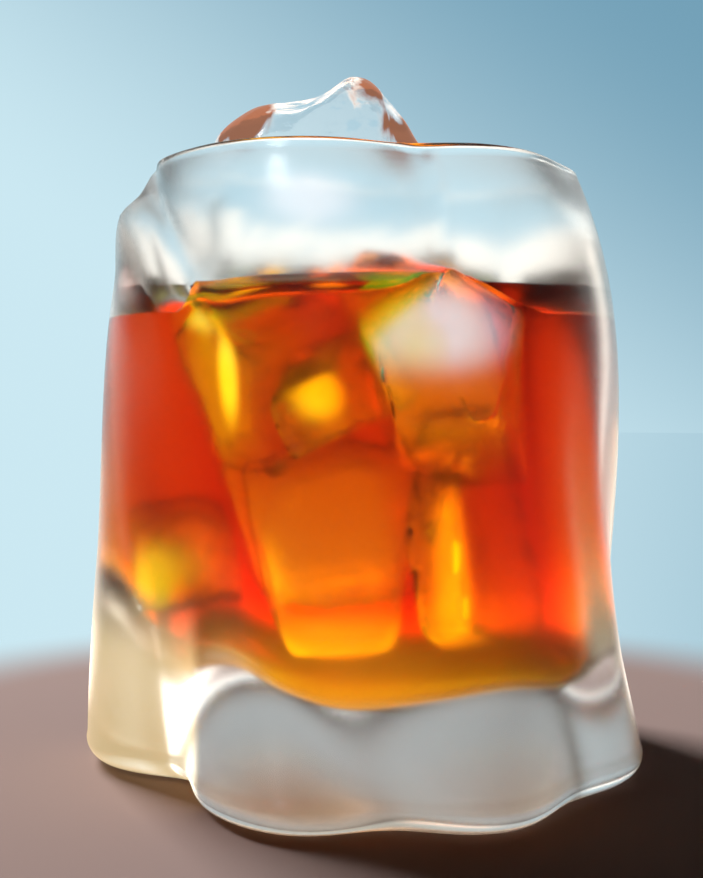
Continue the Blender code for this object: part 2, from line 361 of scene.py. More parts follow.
class DrinkSettings(bpy.types.PropertyGroup):
    level: length_setting("Level", "Height of the flat surface", 0.0689)
    low_light: colour_setting("Low light", "Light caught low in the drink", (0.42, 0.17, 0.005))
    climb: length_setting("Climb", "How far the drink climbs the wall", 0.0030)
    climb_reach: length_setting("Climb reach", "How far from the wall it climbs", 0.0020)
    colour: colour_setting("Colour", "What the drink lets through", (0.981, 0.886, 0.0))
    strength: number_setting("Strength", "Absorption for each metre", 790.0)
    overlap: length_setting("Overlap", "How far it reaches into the glass", 0.0001)
    turns: IntProperty(name="Turns", description="Points round the drink", default=224)


class IceSettings(bpy.types.PropertyGroup):
    crispness: number_setting("Crispness", "How sharp the facets' edges stay", 26.0)
    sunk_crispness: number_setting("Sunk crispness", "The same under the surface", 13.0)
    ripple: length_setting("Ripple", "Height of the melted hollows", 0.00035)
    overlap: length_setting("Overlap", "How far the ice reaches into the drink", 0.0001)
    colour: colour_setting("Colour", "Colour of the clear ice", (0.93, 0.97, 0.99))
    # Painted highlights: how strongly the air spots and glints glow
    air_and_glint_glow: number_setting("Air glow", "Light scattered by trapped air", 1.0)
    # The stain colour and stain light paint both the stains and the painted shade line along the tall
    # ice's ridge
    stain: colour_setting("Stain", "Coffee drawn up into cracks", (0.06, 0.012, 0.005))
    stain_and_ridge_light: colour_setting("Stain light", "Light that the stains scatter", (0.165, 0.046, 0.018))
    clearness: number_setting("Clearness", "How clear the dry top is", 0.80)


class StageSettings(bpy.types.PropertyGroup):
    floor: colour_setting("Floor", "Colour of the floor", (0.31, 0.225, 0.205))
    sky_low: colour_setting("Low backdrop", "Light near the horizon", (0.60, 0.81, 0.89))
    sky_high: colour_setting("High backdrop", "Light from above", (0.174, 0.356, 0.479))
    high_glow: colour_setting("High glow", "Light high behind the glass", (0.69, 0.69, 0.67))
    glow: colour_setting("Glow", "Warm light low behind the glass", (0.95, 0.86, 0.76))
    near_radius: length_setting("Near radius", "Where the floor starts to pale", 0.080)
    far_radius: length_setting("Far radius", "Where the floor is palest", 0.125)
    back_light: number_setting("Back light", "Strength of the light behind", 1.05)
    pad_light: number_setting("Pad light", "Extra glow close behind the glass", 2.2)
    glow_light: number_setting("Glow light", "Strength of the glow behind", 1.55)
    through_light: number_setting("Through light", "Front light seen through glass", 0.42)
    front_light: number_setting("Front light", "Strength of the light in front", 0.14)
    floor_radius: length_setting("Floor radius", "Half the width of the floor", 1.6)


def eased(share):
    """Goes from 0 to 1 without a kink: three times the square less twice the cube."""
    share = np.clip(share, 0.0, 1.0)
    return share * share * (3.0 - 2.0 * share)


def through_heights(values, z):
    """The cubic that passes through a groove's four values."""
    return np.polyval(np.polyfit(GROOVE_HEIGHTS, values, 3), z)


def bump(bearing, middle, width):
    """A bell round the middle bearing: e to the power of minus the squared share of the width."""
    away = (bearing - middle + 180.0) % 360.0 - 180.0
    return np.exp(-((away / width) ** 2))


def ease_over(values, start, full):
    """0 up to the start and 1 past the full value, or the other way down where full is the smaller."""
    return eased((values - start) / (full - start))


def bearing_of(x, y):
    """The bearing of a point, in degrees from the front (-Y) to the right (+X)."""
    return np.degrees(np.arctan2(x, -y))


def lobe(one, bearing, z):
    """A swell or a bulge: its bell by bearing, eased in and out by height."""
    rising = ease_over(z, one.lowest, one.fullest)
    falling = ease_over(z, one.highest, one.fullest)
    return one.height * rising * falling * bump(bearing, one.bearing, one.width)


def wave(bearing, z):
    """The wall's stand from its turned form: minus each groove's bell, plus each swell's."""
    out = np.zeros_like(bearing)
    for groove in GROOVES:
        depth = np.maximum(through_heights(groove.depths, z), 0.0)
        out = out - depth * bump(bearing, through_heights(groove.bearings, z), groove.width)
    for swell in SWELLS:
        out = out + lobe(swell, bearing, z)
    return out


def wall_radius(z):
    """The outside: a straight taper, less an inset that grows with a power of the height."""
    share = np.asarray(z) / HEIGHT
    return FOOT_RADIUS - TAPER * share - RIM_INSET * np.maximum(share, 0.0) ** RIM_INSET_POWER


def hollow_radius(z):
    """The hollow: a power of the height, with a round corner at its floor, blending into the lip."""
    z = np.asarray(z, float)
    up = np.clip((z - FLOOR) / (HOLLOW_TOP - FLOOR), 0.0, 1.0)
    straight = FLOOR_WALL_RADIUS + (HOLLOW_RADIUS - FLOOR_WALL_RADIUS) * up**HOLLOW_POWER
    drop = np.clip(CORNER_RADIUS - (z - FLOOR), 0.0, CORNER_RADIUS)
    rounded = straight - CORNER_RADIUS + np.sqrt(CORNER_RADIUS**2 - drop**2)
    near_lip = eased((z - LIP_BLEND_START) / (HEIGHT - LIP_BLEND_START))
    return rounded * (1 - near_lip) + (wall_radius(z) - LIP_THICKNESS) * near_lip


def wave_share(radius, z):
    """1 on the outside and the lip, less on the hollow's wall, fading to 0 on the axis."""
    hollow = hollow_radius(z)
    inside = HOLLOW_WAVE_SHARE + (1 - HOLLOW_WAVE_SHARE) * ease_over(z, *FULL_WAVE_SPAN)
    inside = inside * np.clip(radius / (FLOOR_WALL_RADIUS - CORNER_RADIUS), 0.0, 1.0)
    outside = np.clip(radius / (FOOT_RADIUS - HEEL_RADIUS), 0.0, 1.0)
    across = ease_over(radius, hollow, wall_radius(z))
    return np.where(z < UNDER_FLOOR, outside, inside + (outside - inside) * across)


def hollow_part(radius, z):
    """1 on the hollow and inside it, 0 on the outside of the wall and under the hollow's floor."""
    across = ease_over(radius, hollow_radius(z), wall_radius(z))
    return np.where(z < UNDER_FLOOR, 0.0, 1.0 - across)


def bulge(bearing, radius, z):
    """How far the hollow is wider: the sum of its bulges, fading to 0 on the axis."""
    out = np.zeros_like(bearing)
    for one in BULGES:
        out = out + lobe(one, bearing, z)
    return out * np.clip(radius / FLOOR_WALL_RADIUS, 0.0, 1.0)


def lift(bearing, radius, z):
    """How far the hollow's floor rises at the left: a bell by bearing, fading with height."""
    reach = np.clip(radius / FLOOR_WALL_RADIUS, 0.0, 1.0) ** 2
    fade = ease_over(z, FLOOR + LIFT_FADE, FLOOR)
    return LIFT * reach * fade * bump(bearing, LIFT_BEARING, LIFT_WIDTH)


def pressed(radius, z, turns):
    """A half outline carried round the axis, each point moved out by the wave at its bearing.

    On the hollow the bulge is added to the radius, and the lift to the height.
    """
    bearing = np.arange(turns) * 360.0 / turns
    bearing, z = np.meshgrid(bearing, z)
    radius = np.broadcast_to(np.asarray(radius)[:, None], bearing.shape)
    inside = hollow_part(radius, z)
    out = radius + wave_share(radius, z) * wave(bearing, z) + inside * bulge(bearing, radius, z)
    z = z + inside * lift(bearing, radius, z)
    out = np.maximum(out, 0.0)
    out = np.where(radius < AXIS, 0.0, out)
    angle = np.radians(bearing)
    return np.stack((out * np.sin(angle), -out * np.cos(angle), z), axis=-1)


def corner_line():
    """The hollow's half outline over its floor and round its corner, by even turns of the corner."""
    flat = np.linspace(0.0, float(hollow_radius(FLOOR)), FLAT_ROWS)
    turn = np.linspace(0.0, np.pi / 2, CORNER_ROWS)[1:]
    z = FLOOR + CORNER_RADIUS * (1 - np.cos(turn))
    return np.concatenate((flat, hollow_radius(z))), np.concatenate((np.full(FLAT_ROWS, FLOOR), z))


def tumbler_line():
    """The half outline up the hollow, over the lip, down the outside and across the foot."""
    floor_r, floor_z = corner_line()
    lip = LIP_THICKNESS / 2
    lip_z = HEIGHT - lip
    inside_z = np.linspace(floor_z[-1], lip_z, INSIDE_ROWS)[1:-1]
    arch = np.linspace(np.pi, 0.0, LIP_ROWS)
    middle = float(wall_radius(lip_z)) - lip
    outside_z = np.linspace(lip_z, HEEL_RADIUS, OUTSIDE_ROWS)[1:-1]
    heel = np.linspace(0.0, -np.pi / 2, HEEL_ROWS)
    heel_middle = float(wall_radius(0.0)) - HEEL_RADIUS
    heel_r = heel_middle + HEEL_RADIUS * np.cos(heel)
    heel_z = HEEL_RADIUS + HEEL_RADIUS * np.sin(heel)
    foot_r = np.linspace(heel_middle, 0.0, FOOT_ROWS)[1:]
    arch_r = middle + lip * np.cos(arch)
    radius = np.concatenate(
        (floor_r, hollow_radius(inside_z), arch_r, wall_radius(outside_z), heel_r, foot_r)
    )
    arch_z = lip_z + lip * np.sin(arch)
    z = np.concatenate((floor_z, inside_z, arch_z, outside_z, heel_z, np.zeros_like(foot_r)))
    return radius, z


def fan_and_quads(turns, rings):
    """Faces from one point to the ring of points round it, and from each ring to the next."""
    ring = np.arange(turns)
    after = (ring + 1) % turns
    start = 1 + turns * np.arange(rings - 1)[:, None]
    quads = np.stack((start + ring, start + turns + ring, start + turns + after, start + after), axis=-1)
    fan = np.column_stack((np.zeros(turns, int), 1 + ring, 1 + after))
    return fan.tolist() + quads.reshape(-1, 4).tolist()


def add_object(name, data):
    obj = bpy.data.objects.new(name, data)
    bpy.context.scene.collection.objects.link(obj)
    return obj


def closed_surface(name, grid):
    """A closed mesh from rows of points round an axis, whose first and last rows are one point."""
    rows, turns = grid.shape[:2]
    points = np.vstack((grid[0, :1], grid[1:-1].reshape(-1, 3), grid[-1, :1]))
    last = len(points) - 1
    ring = last - turns + np.arange(turns)
    last_fan = np.column_stack((np.full(turns, last), np.roll(ring, -1), ring))
    mesh = bpy.data.meshes.new(name)
    mesh.from_pydata(points.tolist(), [], fan_and_quads(turns, rows - 2) + last_fan.tolist())
    mesh.validate()
    mesh.shade_smooth()
    return add_object(name, mesh)


def facet_normal(facet):
    turn = radians(facet.bearing)
    rise = radians(facet.rise)
    return np.array((np.cos(rise) * np.sin(turn), -np.cos(rise) * np.cos(turn), np.sin(rise)))


def facet_reach(piece, directions, crispness):
    """How far the ice reaches each way: a power mean of the distances to its facets.

    For each facet the share is the direction's part along its normal over its distance. The reach
    is one over the sum of the shares' powers, taken to one over that power.
    """
    total = np.zeros(directions.shape[:-1])
    for facet in piece.facets:
        share = np.maximum(directions @ facet_normal(facet), 0.0) / facet.distance
        total = total + share**crispness
    return total ** (-1.0 / crispness)


def scoop_reach(piece, directions):
    """The first crossing of each direction with the scoop's ellipsoid, or far away where it misses."""
    radii = np.array(SCOOP_RADII)
    start = (np.array(piece.centre) - np.array(SCOOP_CENTRE)) / radii
    along = directions / radii
    square = (along**2).sum(-1)
    half = along @ start
    root = half**2 - square * (start @ start - 1.0)
    reach = (-half - np.sqrt(np.maximum(root, 0.0))) / square
    return np.where((root > 0.0) & (reach > 0.0), reach, 1.0)


def ripples(points, seed):
    """A sum of sines along random directions, each bent by a slower sine: about -1 to 1."""
    draw = np.random.default_rng(seed)
    total = np.zeros(points.shape[:-1])
    for length, weight in RIPPLES:
        way = draw.normal(size=3)
        way /= np.linalg.norm(way)
        bend = draw.normal(size=3)
        bend /= np.linalg.norm(bend)
        phase = draw.uniform(0.0, 2.0 * np.pi, 2)
        swing = np.sin(2 * np.pi * (points @ bend) / (length * BEND_STRETCH) + phase[0])
        total = total + weight * np.sin(2 * np.pi * (points @ way) / length + phase[1] + BEND * swing)
    return total / RIPPLE_SUM


def held_in(grid, past):
    """Draws points beyond the pressed hollow in to it, but for how far past it they may go."""
    z = grid[..., 2]
    size = np.hypot(grid[..., 0], grid[..., 1])
    bearing = bearing_of(grid[..., 0], grid[..., 1])
    inner = hollow_radius(z)
    inner = inner + wave_share(inner, z) * wave(bearing, z) + bulge(bearing, inner, z)
    draw = np.minimum(1.0, (inner + past) / np.maximum(size, AXIS))
    return np.stack((grid[..., 0] * draw, grid[..., 1] * draw, z), axis=-1)


def ice_surface(name, piece, seed, rows, turns, settings, grown=0.0):
    """A ball of directions, each as long as the ice reaches there, with melted ripples.

    A piece against the wall stops at it, and a piece that cuts the drink runs on through.
    """
    drop = np.linspace(0.0, np.pi, rows)
    turn = np.arange(turns) * 2 * np.pi / turns
    turn, drop = np.meshgrid(turn, drop)
    ways = np.stack((np.sin(drop) * np.sin(turn), -np.sin(drop) * np.cos(turn), np.cos(drop)), axis=-1)
    crispness = settings.sunk_crispness if name.startswith("ice_sunk") else settings.crispness
    reach = facet_reach(piece, ways, crispness)
    if name.startswith("ice_tall"):
        scoop = scoop_reach(piece, ways)
        soft = settings.crispness * 2
        reach = (reach**-soft + scoop**-soft) ** (-1.0 / soft)
    flat = np.array(piece.centre) + ways * reach[..., None]
    reach = reach + settings.ripple * (ripples(flat, seed) - MELT) + grown
    grid = np.array(piece.centre) + ways * reach[..., None]
    if grown == 0.0 and name.startswith(AGAINST_WALL):
        grid = held_in(grid, settings.overlap / 2)
    return closed_surface(name, grid)


def drink_line(settings):
    """The drink's half outline: out over its surface, up the climb at the wall, down the side."""
    top = settings.level + settings.climb
    rim = float(hollow_radius(top))
    out = rim * (1 - np.linspace(1.0, 0.0, SURFACE_ROWS) ** SURFACE_POWER)
    out[0] = 0.0
    floor_r, floor_z = corner_line()
    side_z = np.linspace(top, floor_z[-1], SIDE_ROWS)[1:-1]
    radius = np.concatenate((out, hollow_radius(side_z), floor_r[::-1]))
    z = np.concatenate((np.full(SURFACE_ROWS, top), side_z, floor_z[::-1]))
    return radius, z


def drink_surface(settings, ice):
    """The pressed hollow, grown into the glass, whose top falls away from the wall by a decay.

    The fall is the climb less the climb times e to minus the distance from the wall over its
    reach, and the same climb stands round each piece of ice.
    """
    turns = settings.turns
    radius, z = drink_line(settings)
    grid = pressed(radius, z, turns)
    wall = np.hypot(grid[SURFACE_ROWS - 1, :, 0], grid[SURFACE_ROWS - 1, :, 1])
    bearing = np.arange(turns) * 2 * np.pi / turns
    out = radius[:SURFACE_ROWS, None] / radius[SURFACE_ROWS - 1] * wall
    climbed = np.exp(-(wall - out) / settings.climb_reach)
    level = np.full_like(out, settings.level)
    surface = np.stack((out * np.sin(bearing), -out * np.cos(bearing), level), axis=-1)
    for piece in ICE_ABOVE.values():
        offset = surface - np.array(piece.centre)
        size = np.linalg.norm(offset, axis=-1)
        reach = facet_reach(piece, offset / size[..., None], ice.crispness)
        climbed = np.maximum(climbed, np.exp(-np.maximum(size - reach, 0.0) / settings.climb_reach))
    turned = (np.degrees(bearing) + 180.0) % 360.0 - 180.0
    front = ease_over(turned, *CLIMB_LEFT) * ease_over(turned, *CLIMB_RIGHT)
    surface[..., 2] += settings.climb * climbed * (SIDE_CLIMB + (1 - SIDE_CLIMB) * front)
    grid[:SURFACE_ROWS] = surface
    side = grid[SURFACE_ROWS - 1 :]
    size = np.hypot(side[..., 0], side[..., 1])
    grow = 1 + settings.overlap / np.maximum(size, GROWN_FROM)
    side[..., 0] *= grow
    side[..., 1] *= grow
    floor = side[..., 2] < FLOOR + CORNER_RADIUS
    side[..., 2] -= np.where(floor, settings.overlap, 0.0)
    return closed_surface("drink_body", grid)


def apply_modifiers(obj):
    graph = bpy.context.evaluated_depsgraph_get()
    mesh = bpy.data.meshes.new_from_object(obj.evaluated_get(graph))
    obj.modifiers.clear()
    old = obj.data
    obj.data = mesh
    bpy.data.meshes.remove(old)


def hollow_out(obj, cutters):
    """Cuts closed shapes from a closed body and removes them."""
    for cutter in cutters:
        cut = obj.modifiers.new("cut", "BOOLEAN")
        cut.operation = "DIFFERENCE"
        cut.solver = "MANIFOLD"
        cut.object = cutter
    before = len(obj.data.vertices)
    apply_modifiers(obj)
    if len(obj.data.vertices) == before:
        raise RuntimeError(f"no ice was cut from {obj.name}")
    for cutter in cutters:
        mesh = cutter.data
        bpy.data.objects.remove(cutter)
        bpy.data.meshes.remove(mesh)
    obj.data.shade_smooth()
    obj.data.set_sharp_from_angle(angle=radians(SHARP_FROM))


def group_sockets(tree, inputs, outputs):
    for name, default in inputs:
        socket = tree.interface.new_socket(name, in_out="INPUT", socket_type="NodeSocketFloat")
        socket.default_value = default
    for name in outputs:
        tree.interface.new_socket(name, in_out="OUTPUT", socket_type="NodeSocketFloat")


def noise_group():
    """Fine grain for any finish: puts out a height, and a mask of slow cloudy patches."""
    name = "surface grain"
    if name in bpy.data.node_groups:
        return bpy.data.node_groups[name]
    tree = bpy.data.node_groups.new(name, "ShaderNodeTree")
    group_sockets(tree, (("Scale", 1000.0), ("Patch Scale", 60.0)), ("Height", "Patches"))
    enter = tree.nodes.new("NodeGroupInput")
    leave = tree.nodes.new("NodeGroupOutput")
    place = tree.nodes.new("ShaderNodeTexCoord")
    fine = tree.nodes.new("ShaderNodeTexNoise")
    fine.inputs["Detail"].default_value = 3.0
    slow = tree.nodes.new("ShaderNodeTexNoise")
    slow.inputs["Detail"].default_value = 2.0
    for noise, scale in ((fine, "Scale"), (slow, "Patch Scale")):
        tree.links.new(place.outputs["Object"], noise.inputs["Vector"])
        tree.links.new(enter.outputs[scale], noise.inputs["Scale"])
    tree.links.new(fine.outputs["Fac"], leave.inputs["Height"])
    tree.links.new(slow.outputs["Fac"], leave.inputs["Patches"])
    return tree


def new_material(name):
    made = bpy.data.materials.new(name)
    made.use_nodes = True
    shader = made.node_tree.nodes["Principled BSDF"]
    return made, made.node_tree, shader


def grain(tree, scale, patch_scale):
    node = tree.nodes.new("ShaderNodeGroup")
    node.node_tree = noise_group()
    node.inputs["Scale"].default_value = scale
    node.inputs["Patch Scale"].default_value = patch_scale
    return node


def feed(tree, value, socket):
    """Links a socket, or sets it to a plain number or to red, green and blue."""
    if isinstance(value, bpy.types.NodeSocket):
        tree.links.new(value, socket)
    elif isinstance(value, float):
        socket.default_value = value
    else:
        socket.default_value = (*value, 1.0)


def dress(tree, node, looks):
    """Feeds each named input of a node."""
    for name, value in looks.items():
        feed(tree, value, node.inputs[name])


def attribute(tree, name, output="Fac"):
    """What the mesh stores under a name."""
    node = tree.nodes.new("ShaderNodeAttribute")
    node.attribute_name = name
    return node.outputs[output]


def relief(tree, shader, height, strength, distance):
    node = tree.nodes.new("ShaderNodeBump")
    dress(tree, node, {"Strength": strength, "Distance": distance, "Height": height})
    tree.links.new(node.outputs["Normal"], shader.inputs["Normal"])


def ramp(tree, value, span, to, kind="SMOOTHSTEP"):
    """Maps one span onto another, eased at both ends unless it is a straight line."""
    node = tree.nodes.new("ShaderNodeMapRange")
    node.interpolation_type = kind
    for name, number in zip(("From Min", "From Max", "To Min", "To Max"), (*span, *to)):
        node.inputs[name].default_value = number
    tree.links.new(value, node.inputs["Value"])
    return node.outputs["Result"]


def product(tree, first, second):
    node = tree.nodes.new("ShaderNodeMath")
    node.operation = "MULTIPLY"
    tree.links.new(first, node.inputs[0])
    tree.links.new(second, node.inputs[1])
    return node.outputs["Value"]


def spread(tree, value, low, high):
    """Maps 0 to 1 onto a range by a straight line."""
    return ramp(tree, value, (0.0, 1.0), (low, high), "LINEAR")


def mixed(tree, share, first, second):
    """A value between two others."""
    node = tree.nodes.new("ShaderNodeMix")
    tree.links.new(share, node.inputs["Factor"])
    feed(tree, first, node.inputs["A"])
    feed(tree, second, node.inputs["B"])
    return node.outputs["Result"]


def blend(tree, share, first, second, kind="MIX"):
    """A colour between two others."""
    node = tree.nodes.new("ShaderNodeMix")
    node.data_type = "RGBA"
    node.blend_type = kind
    feed(tree, share, node.inputs["Factor"])
    feed(tree, first, node.inputs["A"])
    feed(tree, second, node.inputs["B"])
    return node.outputs["Result"]


def vector_maths(tree, operation, vector, output, other=None):
    node = tree.nodes.new("ShaderNodeVectorMath")
    node.operation = operation
    tree.links.new(vector, node.inputs[0])
    if other:
        node.inputs[1].default_value = other
    return node.outputs[output]


def parts_of(tree, vector):
    node = tree.nodes.new("ShaderNodeSeparateXYZ")
    tree.links.new(vector, node.inputs["Vector"])
    return node.outputs


def frosted_glass(settings):
    """Satin outside with a fine etched grain, and a smooth hollow, by the mesh's frost value."""
    made, tree, shader = new_material("satin frosted glass")
    # Painted reflection: the drink's brown is mixed into the glass's tint low in the foot, and a painted
    # glow is emitted at its left
    tint_and_painted_brown = blend(tree, attribute(tree, "brown"), settings.tint, settings.foot_brown)
    glowing = blend(tree, attribute(tree, "gathered"), BLACK, settings.foot_glow)
    texture = grain(tree, scale=2600.0, patch_scale=90.0)
    patches = texture.outputs["Patches"]
    outside = spread(tree, patches, settings.frost - FROST_CHANGE, settings.frost + FROST_CHANGE)
    inside = spread(tree, patches, settings.polish, settings.polish + POLISH_CHANGE)
    rough = mixed(tree, attribute(tree, "frost"), inside, outside)
    dress(tree, shader, {"Base Color": tint_and_painted_brown, "Roughness": rough, "IOR": GLASS_IOR})
    dress(tree, shader, {"Transmission Weight": 1.0, "Specular Tint": (0.3, 0.3, 0.3)})
    dress(tree, shader, {"Emission Color": glowing, "Emission Strength": 1.0})
    relief(tree, shader, texture.outputs["Height"], strength=0.05, distance=0.00008)
    return made


def clear_drink(settings):
    """A smooth liquid whose colour comes from its depth."""
    made, tree, shader = new_material("amber cold coffee")
    texture = grain(tree, scale=260.0, patch_scale=70.0)
    patches = texture.outputs["Patches"]
    rough = spread(tree, patches, low=0.0, high=0.05)
    # Painted glow: emitted light low in the front of the drink
    share = product(tree, attribute(tree, "lit"), spread(tree, patches, low=0.6, high=1.2))
    light = blend(tree, share, BLACK, settings.low_light)
    dress(tree, shader, {"Base Color": (1.0, 1.0, 1.0), "Roughness": rough, "IOR": DRINK_IOR})
    dress(tree, shader, {"Transmission Weight": 1.0, "Specular Tint": (0.1, 0.1, 0.1)})
    dress(tree, shader, {"Emission Color": light, "Emission Strength": 1.0})
    relief(tree, shader, texture.outputs["Height"], strength=0.05, distance=0.0004)
    depth = tree.nodes.new("ShaderNodeVolumeAbsorption")
    dress(tree, depth, {"Color": settings.colour, "Density": settings.strength})
    tree.links.new(depth.outputs["Volume"], tree.nodes["Material Output"].inputs["Volume"])
    return made


def stain_and_ridge_shade_mask(tree):
    """Streaks that run down the ice and gather at its melted shoulders, and the painted shade line along
    its ridge.
    """
    place = tree.nodes.new("ShaderNodeTexCoord")
    stretch = tree.nodes.new("ShaderNodeMapping")
    stretch.inputs["Scale"].default_value = STREAK_STRETCH
    stretch.inputs["Rotation"].default_value = STREAK_LEAN
    tree.links.new(place.outputs["Object"], stretch.inputs["Vector"])
    streaks = tree.nodes.new("ShaderNodeTexNoise")
    dress(tree, streaks, {"Scale": STREAK_SCALE, "Detail": 5.0, "Distortion": 0.8})
    tree.links.new(stretch.outputs["Vector"], streaks.inputs["Vector"])
    push = tree.nodes.new("ShaderNodeMath")
    push.operation = "MULTIPLY_ADD"
    push.inputs[1].default_value = STAIN_PUSH
    # The stain attribute holds the stains and the painted shade line along the ridge
    tree.links.new(attribute(tree, "stain"), push.inputs[0])
    tree.links.new(streaks.outputs["Fac"], push.inputs[2])
    return ramp(tree, push.outputs["Value"], STAIN_EDGE, (0.0, 1.0), "LINEAR")


def clear_ice(settings):
    """Wet ice: fine melt dimples, roughness in patches, coffee-brown stain streaks, a painted shade line
    along its ridge, and painted highlights that glow.
    """
    made, tree, shader = new_material("clear melting ice")
    texture = grain(tree, scale=420.0, patch_scale=110.0)
    patches = texture.outputs["Patches"]
    rough = spread(tree, patches, low=0.0, high=0.16)
    relief(tree, shader, texture.outputs["Height"], strength=0.25, distance=0.0005)
    stain_and_ridge_shade = stain_and_ridge_shade_mask(tree)
    colour = blend(tree, stain_and_ridge_shade, settings.colour, settings.stain)
    # Painted highlights: the ice glows with its air spots and glints, in patches
    cloud = spread(tree, patches, low=0.7, high=1.1)
    light = blend(tree, 1.0, attribute(tree, "air", "Color"), cloud, "MULTIPLY")
    light = blend(tree, stain_and_ridge_shade, light, settings.stain_and_ridge_light)
    clean = ramp(tree, stain_and_ridge_shade, (0.0, 1.0), (settings.clearness, 0.0))
    thin = product(tree, attribute(tree, "bare"), clean)
    alpha = ramp(tree, thin, (0.0, 1.0), (1.0, 0.0))
    dress(tree, shader, {"Base Color": colour, "Roughness": rough, "IOR": ICE_IOR, "Alpha": alpha})
    dress(tree, shader, {"Transmission Weight": 1.0})
    dress(tree, shader, {"Emission Color": light, "Emission Strength": settings.air_and_glint_glow})
    return made


def pale_floor(settings):
    """A matt floor with a faint fine grain, which turns into the pale glowing backdrop far off."""
    made, tree, shader = new_material("pale floor")
    texture = grain(tree, scale=900.0, patch_scale=14.0)
    place = tree.nodes.new("ShaderNodeTexCoord").outputs["Object"]
    away = vector_maths(tree, "LENGTH", place, "Value")
    fade = ramp(tree, away, (settings.near_radius, settings.far_radius), (0.0, 1.0))
    near = blend(tree, fade, settings.floor, BLACK)
    rough = spread(tree, texture.outputs["Patches"], low=0.55, high=0.7)
    relief(tree, shader, texture.outputs["Height"], strength=0.1, distance=0.0002)
    way = parts_of(tree, vector_maths(tree, "NORMALIZE", place, "Vector"))
    behind = ramp(tree, way["Y"], BRIGHT_SPAN, (settings.front_light, settings.glow_light))
    start = ramp(tree, away, PAD_START, (0.0, 1.0))
    end = ramp(tree, away, PAD_END, (settings.pad_light, 1.0))
    pad = product(tree, product(tree, behind, start), end)
    glow, strength = seen_and_lit(tree, settings, pad, settings.glow)
    view = tree.nodes.new("ShaderNodeNewGeometry").outputs["Incoming"]
    lean = vector_maths(tree, "DOT_PRODUCT", view, "Value", (-LEAN[0], 0.0, 0.0))
    rays = tree.nodes.new("ShaderNodeLightPath").outputs
    share = product(tree, rays["Is Camera Ray"], ramp(tree, lean, LEAN_SPAN, (0.0, 1.0)))
    colour = blend(tree, share, glow, settings.sky_high)
    strength = product(tree, strength, mixed(tree, rays["Is Camera Ray"], start, fade))
    dress(tree, shader, {"Base Color": near, "Roughness": rough, "Specular IOR Level": 0.0})
    dress(tree, shader, {"Emission Color": colour, "Emission Strength": strength})
    return made


def seen_and_lit(tree, settings, light, colour):
    """What the camera sees is the pale backdrop, and what lights the glass is its warm studio glow."""
    rays = tree.nodes.new("ShaderNodeLightPath").outputs
    glow = blend(tree, rays["Is Camera Ray"], colour, settings.sky_low)
    shade = ramp(tree, rays["Is Diffuse Ray"], (0.0, 1.0), (1.0, DIFFUSE_SHARE))
    strength = mixed(tree, rays["Is Camera Ray"], product(tree, light, shade), 1.0)
    return glow, strength


def store(obj, name, values):
    layer = obj.data.attributes.new(name, "FLOAT", "POINT")
    layer.data.foreach_set("value", np.ascontiguousarray(values, np.float32))


def store_colour(obj, name, values):
    layer = obj.data.attributes.new(name, "FLOAT_COLOR", "POINT")
    alpha = np.ones((len(values), 1))
    layer.data.foreach_set("color", np.concatenate((values, alpha), axis=1).astype(np.float32).ravel())


def vertices_of(obj):
    points = np.empty(len(obj.data.vertices) * 3)
    obj.data.vertices.foreach_get("co", points)
    return points.reshape(-1, 3)


def finish_piece(obj, material, node=None):
    obj.data.materials.clear()
    obj.data.materials.append(material)
    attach(obj, BODY)
    if node:
        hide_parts(node)


def air_and_glint_light(points, spots):
    """The light of each soft spot: e to minus the fourth power of the share of its reach."""
    total = np.zeros((len(points), 3))
    for spot in spots:
        offset = (points - np.array(spot.place)) / np.array(spot.reach)
        share = np.exp(-((offset**2).sum(-1) ** 2))
        total = total + share[:, None] * np.array(spot.light)
    return total


def stain_values(points):
    """The strongest of the stains at each point, each fading by e to minus the squared distance."""
    total = np.zeros(len(points))
    for stain in STAINS:
        offset = (points - np.array(stain.place)) / np.array((stain.reach, STAIN_DEPTH, stain.reach))
        total = np.maximum(total, stain.weight * np.exp(-(offset**2).sum(-1)))
    return total


class ICEDCOFFEE_OT_tumbler(bpy.types.Operator):
    """Makes the frosted tumbler from its turned and pressed outline"""

    bl_idname = "icedcoffee.tumbler"
    bl_label = "Tumbler"

    def execute(self, context):
        settings = context.scene.icedcoffee_tumbler
        radius, z = tumbler_line()
        obj = closed_surface("tumbler_wall", pressed(radius, z, settings.turns))
        points = vertices_of(obj)
        size = np.hypot(points[:, 0], points[:, 1])
        bearing = bearing_of(points[:, 0], points[:, 1])
        height = points[:, 2]
        inner = hollow_radius(height)
        inner = inner + wave_share(inner, height) * wave(bearing, height)
        outer = wall_radius(height) + wave(bearing, height)
        across = (size - inner) / np.maximum(outer - inner, AXIS)
        store(obj, "frost", np.where(height < UNDER_FLOOR, 1.0, ease_over(across, *FROST_SPAN)))
        outside = ease_over(outer - size, *SKIN_SPAN)
        # Painted glow at the foot's left, under the outside
        glow = ease_over(bearing, *FOOT_GLOW_LEFT) * ease_over(bearing, *FOOT_GLOW_RIGHT)
        glow = glow * ease_over(height, *FOOT_GLOW_TOP)
        store(obj, "gathered", outside * glow)
        # Painted reflection of the drink's brown, low in the front of the foot
        brown = ease_over(height, FOOT_BROWN_TOP, 0.0) * bump(bearing, 0.0, FOOT_BROWN_WIDTH)
        store(obj, "brown", outside * brown * (1.0 - glow))
        finish_piece(obj, frosted_glass(settings), "tumbler")
        return {"FINISHED"}


